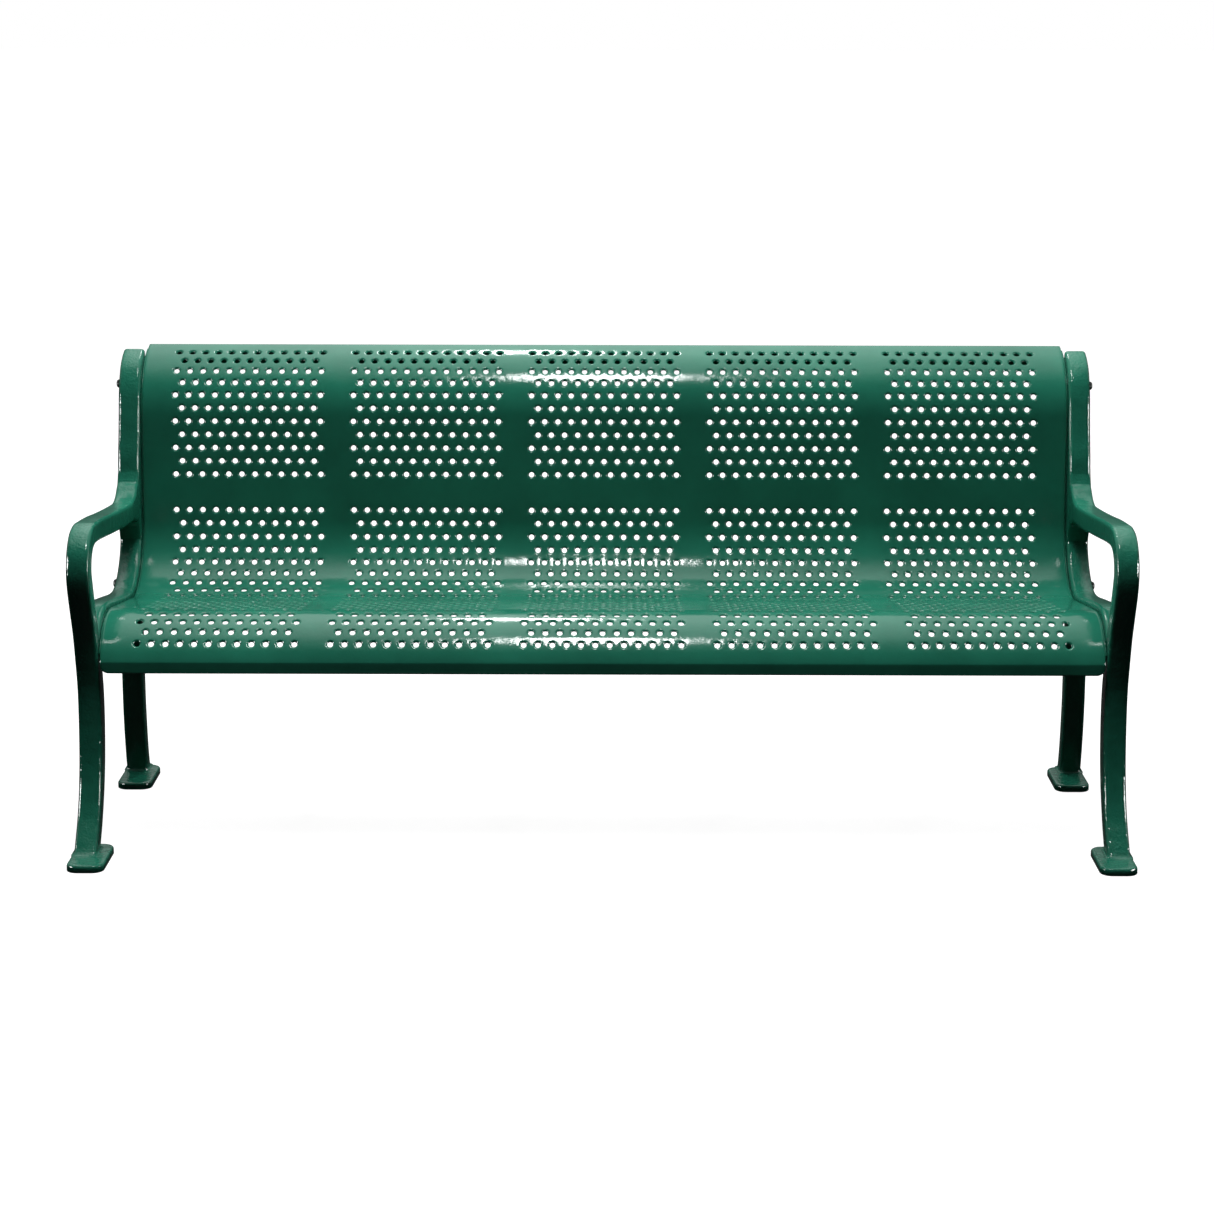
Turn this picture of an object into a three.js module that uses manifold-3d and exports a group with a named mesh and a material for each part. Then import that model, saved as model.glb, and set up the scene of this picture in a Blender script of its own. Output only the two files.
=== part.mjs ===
// A 1.9 m street bench: one bent, perforated steel seat-and-back panel between two end frames
// with armrests. Millimetres, +Z up. X runs along the bench and -Y is the front.
//
// Each end frame lies in one upright plane, so its outlines are drawn in (Y, Z) and extruded along X.
// The panel, its ribs and its end plates all follow one side profile, the contour.
import * as THREE from "three";
import { mergeVertices } from "three/addons/utils/BufferGeometryUtils.js";
import Module from "manifold-3d";

const wasm = await Module();
wasm.setup();

const rad = THREE.MathUtils.degToRad;

// ---------------------------------------------------------------- driving dimensions

const GAP = 0.3; // clearance kept between pieces that touch on the real bench

const PANEL_LENGTH = 1829; // six feet
const SHEET = 4.5; // steel sheet with its coating
const FRONT_FLANGE = 20; // height of the turned-down front edge
const REAR_FLANGE = 45; // height of the turned-down top edge

const LIP = { y: -247.4, z: 357.4 }; // upper edge of the front flange
const LIP_ANGLE = rad(67); // the front roll starts this steep
const SEAT_ANGLE = rad(-8); // the seat falls towards the back
const BACK_ANGLE = rad(86);
const TOP_ANGLE = rad(9); // the top roll ends this near level
const LIP_RADIUS = 121;
const CREASE_RADIUS = 136;
const TOP_RADIUS = 141;
const SEAT_STRAIGHT = 233;
const BACK_STRAIGHT = 206;

const FRAME_WIDTH = 42; // frame members, along X
const SIDE_GAP = 3.5; // between the panel's ends and the frames
const FRAME_INNER_X = PANEL_LENGTH / 2 + SIDE_GAP;
const FRAME_OUTER_X = FRAME_INNER_X + FRAME_WIDTH;
const FRAME_EDGE = 5; // eased edges of the frame members

const PLATE_THICKNESS = 6; // ribs and end plates
const PLATE_DEPTH = 34;
const PLATE_END = 18; // plates stop this far short of the panel's edges
const RIBS = 4;
const STRIP_PITCH = 352.8; // distance between the plain strips that part the panel's hole groups

const FOOT = { length: 136, width: 68, overhang: 4, thickness: 14, corner: 20, edge: 4 };
const FOOT_CORNER_FACETS = 6;
const FOOT_EDGE_FACETS = 2;
const FRONT_FOOT_Y = -314;
const REAR_FOOT_Y = 214;

const BOLT = { radius: 4, tipChamfer: 1, headRadius: 8.5, headHeight: 5.5, socket: 2.8, socketDepth: 3 };
const BOLT_PAST_NUT = 4;
const BOLT_DEPTH = 13; // bolt axes under the panel's upper surface
const HOLE_RADIUS = 4.7;
const WASHER = { radius: 10.5, thickness: 2 };
const NUT = { acrossFlats: 13, thickness: 6.5 };
const ROUND_SIDES = 14; // facets of the fasteners

// ---------------------------------------------------------------- materials

const GREEN = 0x1f6b4f;
const paint = (roughness) => new THREE.MeshStandardMaterial({ color: GREEN, roughness, metalness: 0 });
const blackSteel = () => new THREE.MeshStandardMaterial({ color: 0x15181a, roughness: 0.4, metalness: 0.8 });

// ---------------------------------------------------------------- solids

const bench = new THREE.Group();

function addPiece(name, geometry, material) {
  const mesh = new THREE.Mesh(geometry, material);
  mesh.name = name;
  bench.add(mesh);
  return mesh;
}

/** Extrudes a (Y, Z) outline along X, from xLow over the given width, with eased edges. */
function extrudeAlongX(shape, xLow, width, edge = 0) {
  const geometry = new THREE.ExtrudeGeometry(shape, {
    depth: width - 2 * edge,
    steps: 1,
    curveSegments: 12,
    bevelEnabled: edge > 0,
    bevelThickness: edge,
    bevelSize: edge,
    bevelOffset: -edge,
    bevelSegments: 1,
  });
  const sideToBench = new THREE.Matrix4().makeBasis(
    new THREE.Vector3(0, 1, 0),
    new THREE.Vector3(0, 0, 1),
    new THREE.Vector3(1, 0, 0),
  );
  geometry.applyMatrix4(sideToBench);
  return geometry.translate(xLow + edge, 0, 0);
}

function toManifold(geometry) {
  const bare = geometry.clone();
  bare.deleteAttribute("normal");
  bare.deleteAttribute("uv");
  const merged = mergeVertices(bare, 1e-4);
  return new wasm.Manifold(
    new wasm.Mesh({
      numProp: 3,
      vertProperties: new Float32Array(merged.attributes.position.array),
      triVerts: new Uint32Array(merged.index.array),
    }),
  );
}

/** Cuts every tool out of a closed geometry. */
function cut(geometry, tools) {
  let solid = toManifold(geometry);
  for (const tool of tools) {
    solid = solid.subtract(toManifold(tool));
  }
  const mesh = solid.getMesh();
  const result = new THREE.BufferGeometry();
  result.setAttribute("position", new THREE.BufferAttribute(new Float32Array(mesh.vertProperties), 3));
  result.setIndex(new THREE.BufferAttribute(new Uint32Array(mesh.triVerts), 1));
  result.computeVertexNormals();
  return result;
}

// ---------------------------------------------------------------- the contour

const arcRun = (radius, from, to) => ({ turn: to - from, length: radius * Math.abs(to - from) });
const straightRun = (length) => ({ turn: 0, length });

// From the front lip to the top edge: straight runs, and bends that turn the heading.
const contourRuns = [
  arcRun(LIP_RADIUS, LIP_ANGLE, SEAT_ANGLE),
  straightRun(SEAT_STRAIGHT),
  arcRun(CREASE_RADIUS, SEAT_ANGLE, BACK_ANGLE),
  straightRun(BACK_STRAIGHT),
  arcRun(TOP_RADIUS, BACK_ANGLE, TOP_ANGLE),
];
const CONTOUR_LENGTH = contourRuns.reduce((sum, run) => sum + run.length, 0);

/** Point and heading of the panel's upper surface, at a distance along the contour. */
function contourAt(distance) {
  const point = new THREE.Vector2(LIP.y, LIP.z);
  let heading = LIP_ANGLE;
  let left = distance;
  for (const run of contourRuns) {
    const used = Math.min(left, run.length);
    const turned = (run.turn * used) / run.length;
    const chord = turned === 0 ? used : (used * Math.sin(turned / 2)) / (turned / 2);
    point.x += chord * Math.cos(heading + turned / 2);
    point.y += chord * Math.sin(heading + turned / 2);
    heading += turned;
    left -= used;
  }
  return { point, heading };
}

/** Point at a depth under the panel's upper surface. */
function underContour(distance, depth) {
  const { point, heading } = contourAt(distance);
  return new THREE.Vector2(point.x + depth * Math.sin(heading), point.y - depth * Math.cos(heading));
}

/** Distances between two ends of the contour: bends are stepped, straight runs are not. */
function contourStations(from, to) {
  const BEND_STEP = rad(7.5);
  const distances = [from];
  let start = 0;
  for (const run of contourRuns) {
    const steps = Math.max(1, Math.round(Math.abs(run.turn) / BEND_STEP));
    for (let i = 0; i <= steps; i += 1) {
      const distance = start + (run.length * i) / steps;
      if (distance > distances.at(-1) + 1 && distance < to - 1) {
        distances.push(distance);
      }
    }
    start += run.length;
  }
  return [...distances, to];
}

/** Closed strip under the contour, between two depths. */
function contourStrip(from, to, depthTop, depthBottom) {
  const stations = contourStations(from, to);
  const top = stations.map((distance) => underContour(distance, depthTop));
  const bottom = stations.map((distance) => underContour(distance, depthBottom));
  return [...top, ...bottom.reverse()];
}

// ---------------------------------------------------------------- seat and back panel

/** Inner corner of a folded edge: where the sheet's underside meets the flange's inner face. */
function innerCorner(distance, y) {
  const { heading } = contourAt(distance);
  const under = underContour(distance, SHEET);
  return new THREE.Vector2(y, under.y + (y - under.x) * Math.tan(heading));
}

function panelShape() {
  const stations = contourStations(0, CONTOUR_LENGTH);
  const upper = stations.map((distance) => underContour(distance, 0));
  const lower = stations.slice(1, -1).map((distance) => underContour(distance, SHEET));
  const front = upper[0];
  const rear = upper.at(-1);
  const frontInner = innerCorner(0, front.x + SHEET);
  const rearInner = innerCorner(CONTOUR_LENGTH, rear.x - SHEET);
  return new THREE.Shape([
    new THREE.Vector2(front.x, front.y - FRONT_FLANGE),
    new THREE.Vector2(frontInner.x, front.y - FRONT_FLANGE),
    frontInner,
    ...lower,
    rearInner,
    new THREE.Vector2(rearInner.x, rear.y - REAR_FLANGE),
    new THREE.Vector2(rear.x, rear.y - REAR_FLANGE),
    ...upper.reverse(),
  ]);
}

addPiece("seat_back_panel", extrudeAlongX(panelShape(), -PANEL_LENGTH / 2, PANEL_LENGTH), paint(0.3));

// ---------------------------------------------------------------- end frame members

/** One station of a frame member: a point of its centreline and its thickness there. */
const station = (y, z, thickness) => new THREE.Vector3(y, z, thickness);

/** Stations round an arc; angles are measured from +Y towards +Z. */
function arcStations(centre, radius, fromAngle, toAngle, thickness, count) {
  return Array.from({ length: count }, (_, i) => {
    const angle = fromAngle + ((toAngle - fromAngle) * i) / (count - 1);
    return station(centre.y + radius * Math.cos(angle), centre.z + radius * Math.sin(angle), thickness);
  });
}

const STEPS_PER_SPAN = 3;

/** Outline without its points that lie on a straight line between their neighbours. */
function withoutCollinear(points) {
  const FLAT = 1e-3;
  return points.filter((point, i) => {
    const before = points.at(i - 1);
    const after = points[(i + 1) % points.length];
    const along = after.clone().sub(before);
    return Math.abs(along.cross(point.clone().sub(before))) > FLAT * along.length();
  });
}

/** Outline of a band of changing thickness along a smooth centreline. */
function bandShape(stations, grow = 0) {
  const curve = new THREE.CatmullRomCurve3(stations, false, "centripetal");
  const steps = (stations.length - 1) * STEPS_PER_SPAN;
  const leftSide = [];
  const rightSide = [];
  for (let i = 0; i <= steps; i += 1) {
    const centre = curve.getPoint(i / steps);
    const tangent = curve.getTangent(i / steps);
    const normal = new THREE.Vector2(-tangent.y, tangent.x).normalize();
    const half = centre.z / 2 + grow;
    leftSide.push(new THREE.Vector2(centre.x + normal.x * half, centre.y + normal.y * half));
    rightSide.push(new THREE.Vector2(centre.x - normal.x * half, centre.y - normal.y * half));
  }
  return new THREE.Shape(withoutCollinear([...rightSide, ...leftSide.reverse()]));
}

// A member beside the panel stands a little proud of it: its centreline runs this far under the surface.
const MEMBER_DEPTH = 9;
const MEMBER_THICKNESS = 38;

/** A station of a member that follows the panel. */
function besidePanel(distance, thickness = MEMBER_THICKNESS) {
  const { x, y } = underContour(distance, MEMBER_DEPTH);
  return station(x, y, thickness);
}

const lipLength = contourRuns[0].length;
const seatEnd = lipLength + SEAT_STRAIGHT;
const creaseEnd = seatEnd + contourRuns[2].length;
const backEnd = creaseEnd + BACK_STRAIGHT;

// From the rolled-back top down the back, round the crease and forward under the seat's end.
const backStations = [
  station(362, 830, 46),
  station(341, 821, 46),
  station(321, 806, 46),
  station(304, 776, 46),
  station(290, 722, 44),
  // the root that the armrest grows out of
  station(284, 684, 50),
  station(277, 650, 56),
  station(274, 614, 62),
  station(271, 572, 68),
  station(272, 532, 62),
  besidePanel(creaseEnd - 25, 44),
];
const seatStations = [
  besidePanel(creaseEnd - 60),
  besidePanel(creaseEnd - 100),
  besidePanel(creaseEnd - 140),
  besidePanel(creaseEnd - 180),
  besidePanel(seatEnd),
  besidePanel(seatEnd - SEAT_STRAIGHT / 2),
  besidePanel(lipLength),
  besidePanel(lipLength * 0.8),
  besidePanel(lipLength * 0.55),
  besidePanel(lipLength * 0.3),
];

// From inside the back member forward along the armrest to its bend.
const armStations = [
  station(262, 559, 150),
  station(250, 559, 134),
  station(243, 559, 114),
  station(236, 559, 94),
  station(228, 559, 78),
  station(217, 558, 63),
  station(203, 557, 50),
  station(187, 556, 42),
  station(165, 555, 39),
  station(145, 556, 39),
  station(90, 560, 40),
  station(30, 566, 39),
  station(-48, 574, 39),
  station(-120, 582, 39),
  station(-190, 588, 38),
];
const ARM_BEND = { y: -226, z: 530 };
const armBendStations = arcStations(ARM_BEND, 59, rad(90), rad(180), 39, 4);

// The front leg bows back under the seat and sweeps forward to its foot.
const frontLegStations = [
  station(-280, 506, 41),
  station(-262, 460, 40),
  station(-243, 415, 40),
  station(-225, 355, 43),
  station(-213, 312, 48),
  station(-209, 268, 51),
  station(-213, 198, 50),
  station(-223, 145, 47),
  station(-242, 94, 42),
  station(-262, 58, 41),
  station(-284, 28, 42),
  station(-310, -8, 44),
];

// From inside the crease of the back member straight down, then swept back to the foot.
const rearLegStations = [
  station(236, 434, 42),
  station(236, 320, 42),
  station(236, 210, 42),
  station(237, 155, 42),
  station(242, 104, 42),
  station(247, 72, 41),
  station(254, 38, 41),
  station(268, -8, 42),
];

const SOLE = FOOT.thickness + GAP;

/** Everything below the top of a foot, so that a leg stands flat on it. */
function belowFoot(y) {
  const size = 200; // larger than any leg's section
  return new THREE.BoxGeometry(size, size, size).translate(FRAME_INNER_X, y, SOLE - size / 2);
}

/** Bolts hold the end frames to the end plates: near the top, at the crease and near the front. */
const boltPlaces = [
  { name: "top", at: underContour(backEnd + 71, BOLT_DEPTH) },
  { name: "crease", at: underContour(creaseEnd - 130, BOLT_DEPTH) },
  { name: "seat", at: underContour(lipLength * 0.65, BOLT_DEPTH) },
];

/** Closed outline of equal sides round a point, such as a hexagon or a near circle. */
function ring(centre, radius, sides) {
  return Array.from({ length: sides }, (_, i) => {
    const angle = (2 * Math.PI * i) / sides;
    return new THREE.Vector2(centre.x + radius * Math.cos(angle), centre.y + radius * Math.sin(angle));
  });
}

function boltHole(place) {
  const outline = new THREE.Shape(ring(place.at, HOLE_RADIUS, ROUND_SIDES));
  return extrudeAlongX(outline, FRAME_INNER_X - FRAME_WIDTH, 3 * FRAME_WIDTH);
}

const member = (stations) => extrudeAlongX(bandShape(stations), FRAME_INNER_X, FRAME_WIDTH, FRAME_EDGE);

/** A member grown by the gap, to cut the seat it leaves in the piece that it is joined to. */
function memberCutter(stations) {
  const sideRoom = 10; // the cutter runs out past both faces of the frame
  return extrudeAlongX(bandShape(stations, GAP), FRAME_INNER_X - sideRoom, FRAME_WIDTH + 2 * sideRoom);
}

const backSeatStations = [...backStations, ...seatStations];
const armLegStations = [...armStations, ...armBendStations, ...frontLegStations];
const upperCutter = memberCutter(backSeatStations.slice(0, -4));
const legCutter = memberCutter(armLegStations.slice(armStations.length));

const frameMembers = {
  back_seat_member: cut(member(backSeatStations), [legCutter, ...boltPlaces.map(boltHole)]),
  arm_front_leg: cut(member(armLegStations), [upperCutter, belowFoot(FRONT_FOOT_Y)]),
  rear_leg: cut(member(rearLegStations), [upperCutter, belowFoot(REAR_FOOT_Y)]),
};

// ---------------------------------------------------------------- feet

/** Foot plate under a leg: a little outside the frame's outer face, and much wider towards the bench. */
function footPlate(y) {
  const { length, width, overhang, thickness, corner, edge } = FOOT;
  const x = width / 2 - corner;
  const half = length / 2 - corner;
  const outline = new THREE.Shape();
  outline.absarc(x, y - half, corner, -Math.PI / 2, 0);
  outline.absarc(x, y + half, corner, 0, Math.PI / 2);
  outline.absarc(-x, y + half, corner, Math.PI / 2, Math.PI);
  outline.absarc(-x, y - half, corner, Math.PI, 1.5 * Math.PI);
  const plate = new THREE.ExtrudeGeometry(outline, {
    depth: thickness - edge,
    curveSegments: FOOT_CORNER_FACETS,
    bevelThickness: edge,
    bevelSize: edge,
    bevelOffset: -edge,
    bevelSegments: FOOT_EDGE_FACETS,
  });
  const ground = new THREE.BoxGeometry(2 * width, 2 * length, width).translate(0, y, -width / 2);
  return cut(plate, [ground]).translate(FRAME_OUTER_X + overhang - width / 2, 0, 0);
}

const feet = {
  front_foot: footPlate(FRONT_FOOT_Y),
  rear_foot: footPlate(REAR_FOOT_Y),
};

// ---------------------------------------------------------------- fasteners

/** Revolves an (axial, radius) profile about X: a piece's outer end points along +X. */
function turnedAboutX(profile) {
  const points = profile.map(([axial, radius]) => new THREE.Vector2(radius, axial));
  return new THREE.LatheGeometry(points, ROUND_SIDES).rotateZ(-Math.PI / 2);
}

const plateOuterX = FRAME_INNER_X - GAP;
const plateInnerX = plateOuterX - PLATE_THICKNESS;
const headX = FRAME_OUTER_X + WASHER.thickness + 2 * GAP;
const boltEndX = plateInnerX - NUT.thickness - BOLT_PAST_NUT;

// Shares of the head's height and radius, from its bearing face to its flat top.
const HEAD_DOME = [[0, 1], [0.45, 0.92], [0.85, 0.66], [1, 0.5]];

/** Button-head socket screw, from its head outside the frame to its tip inside the bench. */
function bolt() {
  const { radius, tipChamfer, headRadius, headHeight, socket, socketDepth } = BOLT;
  const blank = turnedAboutX([
    [boltEndX, 0],
    [boltEndX, radius - tipChamfer],
    [boltEndX + tipChamfer, radius],
    [headX, radius],
    ...HEAD_DOME.map(([height, width]) => [headX + headHeight * height, headRadius * width]),
    [headX + headHeight, 0],
  ]);
  const hexagon = new THREE.Shape(ring(new THREE.Vector2(), socket, 6));
  return cut(blank, [extrudeAlongX(hexagon, headX + headHeight - socketDepth, 2 * socketDepth)]);
}

function washer() {
  const low = FRAME_OUTER_X + GAP;
  const high = low + WASHER.thickness;
  return turnedAboutX([
    [low, HOLE_RADIUS],
    [low, WASHER.radius],
    [high, WASHER.radius],
    [high, HOLE_RADIUS],
    [low, HOLE_RADIUS],
  ]);
}

function nut() {
  const middle = new THREE.Vector2();
  const outline = new THREE.Shape(ring(middle, NUT.acrossFlats / Math.sqrt(3), 6));
  outline.holes.push(new THREE.Path(ring(middle, BOLT.radius + GAP, ROUND_SIDES).reverse()));
  return extrudeAlongX(outline, plateInnerX - GAP - NUT.thickness, NUT.thickness);
}

const fastenerParts = { bolt: bolt(), washer: washer(), nut: nut() };

// ---------------------------------------------------------------- plates under the panel

const plateOutline = () => new THREE.Shape(
  contourStrip(PLATE_END, CONTOUR_LENGTH - PLATE_END, SHEET + GAP, SHEET + PLATE_DEPTH).reverse(),
);
const endPlate = cut(extrudeAlongX(plateOutline(), plateInnerX, PLATE_THICKNESS), boltPlaces.map(boltHole));

for (let i = 0; i < RIBS; i += 1) {
  const xLow = (i - (RIBS - 1) / 2) * STRIP_PITCH - PLATE_THICKNESS / 2;
  addPiece(`contour_rib_${i + 1}`, extrudeAlongX(plateOutline(), xLow, PLATE_THICKNESS), paint(0.45));
}

// ---------------------------------------------------------------- both ends

/** The left end is the right end mirrored; the triangles are turned so that faces stay outward. */
function mirrored(geometry) {
  const result = mergeVertices(geometry.clone()).scale(-1, 1, 1);
  const { array } = result.index;
  for (let i = 0; i < array.length; i += 3) {
    [array[i], array[i + 1]] = [array[i + 1], array[i]];
  }
  result.computeVertexNormals();
  return result;
}

for (const side of ["left", "right"]) {
  const placed = (geometry) => (side === "right" ? geometry.clone() : mirrored(geometry));
  for (const [name, geometry] of Object.entries(frameMembers)) {
    addPiece(`${side}_${name}`, placed(geometry), paint(0.35));
  }
  for (const [name, geometry] of Object.entries(feet)) {
    addPiece(`${side}_${name}`, placed(geometry), paint(0.35));
  }
  addPiece(`${side}_end_plate`, placed(endPlate), paint(0.45));
  for (const place of boltPlaces) {
    for (const [kind, geometry] of Object.entries(fastenerParts)) {
      const piece = addPiece(`${side}_${place.name}_${kind}`, placed(geometry), blackSteel());
      piece.position.set(0, place.at.x, place.at.y);
    }
  }
}

// The origin is the middle of the bench's outline on the ground.
bench.updateMatrixWorld(true);
const extent = new THREE.Box3().setFromObject(bench, true);
bench.position.y = -(extent.min.y + extent.max.y) / 2;

export default bench;
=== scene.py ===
"""Street bench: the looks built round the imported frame. +Z is up and the front faces -Y.

The perforated panel, the bars of the end frames, the foot plates, the plates under the panel and
the fasteners are rebuilt here at full detail, each in the place of the CAD node that it replaces.
Their shapes are worked out in millimetres, which new_piece turns into metres.
"""

from math import cos, pi, radians, sin, tan

import bpy
import numpy as np
from mathutils import Matrix, Vector


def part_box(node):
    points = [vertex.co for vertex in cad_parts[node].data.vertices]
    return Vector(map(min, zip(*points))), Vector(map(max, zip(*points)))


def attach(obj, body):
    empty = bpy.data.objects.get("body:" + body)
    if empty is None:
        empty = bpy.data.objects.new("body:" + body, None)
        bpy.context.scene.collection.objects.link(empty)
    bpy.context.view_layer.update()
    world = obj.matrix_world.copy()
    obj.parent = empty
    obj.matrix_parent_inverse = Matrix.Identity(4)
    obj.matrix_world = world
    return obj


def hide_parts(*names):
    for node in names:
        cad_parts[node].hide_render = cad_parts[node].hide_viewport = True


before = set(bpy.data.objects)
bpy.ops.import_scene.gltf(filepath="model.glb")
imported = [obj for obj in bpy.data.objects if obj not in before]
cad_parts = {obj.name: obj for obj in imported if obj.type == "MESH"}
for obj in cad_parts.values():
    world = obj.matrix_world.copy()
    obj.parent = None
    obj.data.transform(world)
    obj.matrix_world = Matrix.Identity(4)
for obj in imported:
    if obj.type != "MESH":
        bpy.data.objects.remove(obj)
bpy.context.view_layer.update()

MM = 0.001

# ------------------------------------------------------------------ driving dimensions, millimetres

PITCH = 26.13  # hole to hole along the bench
PANEL_PITCHES = 70  # the panel's length in hole pitches
SHEET = 4.5
FRONT_FLANGE, REAR_FLANGE = 20, 45
FOLD_RADIUS = 5
CORNER_RADIUS = 13  # lower corners of the front flange

LIP = (-247.4, 357.4)  # (y, z) of the fold above the front flange
LIP_ANGLE, SEAT_ANGLE, BACK_ANGLE, TOP_ANGLE = (radians(a) for a in (67, -8, 86, 9))
LIP_RADIUS, CREASE_RADIUS, TOP_RADIUS = 121, 136, 141
SEAT_STRAIGHT, BACK_STRAIGHT = 233, 206

ROW_PITCH = 26.34  # hole to hole along the contour
FIELDS, FIELD_ROWS = 3, 11
FIRST_ROW = 41.8  # from the top edge
PLAIN_BAND = 71.2  # row to row across the band between two hole fields
GROUPS = 5
FIRST_HOLE, GROUP_STEP = 2.5, 13.5  # in hole pitches, from the panel's end and from group to group
GROUP_HOLES = 12  # in every other row; the rows between have one less

FRAME_WIDTH = 42
JOINED_WIDTH = 41.4  # a bar that runs into another is a little narrower, so that no faces coincide
FRAME_INNER = 918  # from the bench's middle to the inside of the bars
FRAME_MIDDLE = FRAME_INNER + FRAME_WIDTH / 2
FRAME_OUTER = FRAME_INNER + FRAME_WIDTH
FRAME_ROUND = 7  # rounding of the bars' edges
FRAME_CAP = 0.8 * FRAME_ROUND  # rounding of their free ends
MEMBER_DEPTH, MEMBER_THICKNESS = 9, 38  # the member beside the panel: its middle under the contour

FOOT_LENGTH, FOOT_WIDTH, FOOT_THICKNESS = 136, 68, 14
FOOT_CORNER, FOOT_ROUND, FOOT_BEVEL = 21, 5, 0.8  # corners, upper edge and lower edge
FOOT_OVERHANG = 4
FRONT_FOOT_Y, REAR_FOOT_Y = -314, 214
WELD = 6  # leg of the fillet welds at the feet

PLATE_THICKNESS, PLATE_DEPTH, PLATE_END = 6, 34, 18
PLATE_ROUND, PLATE_CAP = 1.6, 1.5
RIB_PLACES = (-1.5, -0.5, 0.5, 1.5)  # between the hole groups, in group steps from the middle
GAP = 0.3  # between pieces that touch

SHIFT_Y = (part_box("seat_back_panel")[0].y / MM) - LIP[0]  # the frame's origin against these numbers


# ------------------------------------------------------------------ camera

CAMERA_PITCH, CAMERA_YAW, CAMERA_ROLL = (radians(a) for a in (10.91, 0.166, 0.144))
CAMERA_PLACE = Vector((0.025, -5.1685 + SHIFT_Y * MM, 1.5745))  # metres
SENSOR_WIDTH, FOCAL_LENGTH = 36, 82.62
CAMERA_SHIFT_X, CAMERA_SHIFT_Y = -0.0012, -0.07315


def camera_axes():
    """The camera's own axes, from its pitch, its yaw and then its roll."""
    right = Vector((1, 0, 0))
    down = Vector((0, -sin(CAMERA_PITCH), -cos(CAMERA_PITCH)))
    ahead = Vector((0, cos(CAMERA_PITCH), -sin(CAMERA_PITCH)))
    turned_right = cos(CAMERA_YAW) * right + sin(CAMERA_YAW) * ahead
    turned_ahead = cos(CAMERA_YAW) * ahead - sin(CAMERA_YAW) * right
    view_right = cos(CAMERA_ROLL) * turned_right - sin(CAMERA_ROLL) * down
    view_down = sin(CAMERA_ROLL) * turned_right + cos(CAMERA_ROLL) * down
    return Matrix((view_right, -view_down, -turned_ahead)).transposed()


def add_camera():
    """The photograph's viewpoint: in front of the bench, a little above it, looking slightly down."""
    data = bpy.data.cameras.new("camera")
    data.sensor_width = SENSOR_WIDTH
    data.lens = FOCAL_LENGTH
    data.shift_x = CAMERA_SHIFT_X
    data.shift_y = CAMERA_SHIFT_Y
    camera = bpy.data.objects.new("camera", data)
    bpy.context.scene.collection.objects.link(camera)
    camera.matrix_world = Matrix.Translation(CAMERA_PLACE) @ camera_axes().to_4x4()
    bpy.context.scene.camera = camera


# ------------------------------------------------------------------ the contour

class Path:
    """A chain of straight runs and bends in the (y, z) plane, measured by distance along it."""

    def __init__(self, start, heading, runs):
        self.segments = []
        point, distance = np.array(start, float), 0.0
        for length, turn in runs:
            self.segments.append((distance, length, point, heading, turn))
            point = point + self._step(length, heading, turn / length)
            heading += turn
            distance += length
        self.length = distance

    @staticmethod
    def _step(used, heading, curvature):
        """From a segment's start to the point that lies this far along it."""
        half = curvature * used / 2
        chord = used * np.sinc(half / pi)
        return np.array([chord * np.cos(heading + half), chord * np.sin(heading + half)])

    def place(self, distance, depth):
        """(y, z) of points at a distance along the path and a depth under it."""
        distance, depth = np.broadcast_arrays(np.asarray(distance, float), np.asarray(depth, float))
        y, z = np.zeros(distance.shape), np.zeros(distance.shape)
        last = len(self.segments) - 1
        for i, (start, length, point, heading, turn) in enumerate(self.segments):
            inside = (distance >= start) | (i == 0)
            inside &= (distance < start + length) | (i == last)
            used = distance[inside] - start
            step = self._step(used, heading, turn / length)
            angle = heading + turn * used / length
            y[inside] = point[0] + step[0] + depth[inside] * np.sin(angle)
            z[inside] = point[1] + step[1] - depth[inside] * np.cos(angle)
        return y, z


def bend(radius, start, end):
    """(length, turn) of a bend between two headings."""
    return radius * abs(end - start), end - start


def straight(length):
    """(length, turn) of a straight run."""
    return length, 0.0


CONTOUR_RUNS = [
    bend(LIP_RADIUS, LIP_ANGLE, SEAT_ANGLE),
    straight(SEAT_STRAIGHT),
    bend(CREASE_RADIUS, SEAT_ANGLE, BACK_ANGLE),
    straight(BACK_STRAIGHT),
    bend(TOP_RADIUS, BACK_ANGLE, TOP_ANGLE),
]
contour = Path(LIP, LIP_ANGLE, CONTOUR_RUNS)
LIP_END, SEAT_END, CREASE_END, BACK_END, _ = np.cumsum([length for length, _ in CONTOUR_RUNS])


def sheet_path():
    """The contour with its two edges folded down; returns the path and where the contour starts on it."""
    fold_reach = FOLD_RADIUS * tan((pi / 2 + TOP_ANGLE) / 2)
    fold_angle = TOP_ANGLE + fold_reach / TOP_RADIUS
    first = [straight(FRONT_FLANGE), bend(FOLD_RADIUS, pi / 2, LIP_ANGLE)]
    last = [
        bend(TOP_RADIUS, BACK_ANGLE, fold_angle),
        bend(FOLD_RADIUS, fold_angle, -pi / 2),
        straight(REAR_FLANGE - fold_reach),
    ]
    lead = Path((0, 0), pi / 2, first)
    lead_y, lead_z = lead.place(lead.length, 0)
    start = (LIP[0] - float(lead_y), LIP[1] - float(lead_z))
    return Path(start, pi / 2, first + CONTOUR_RUNS[:-1] + last), lead.length


# ------------------------------------------------------------------ mesh helpers

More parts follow.
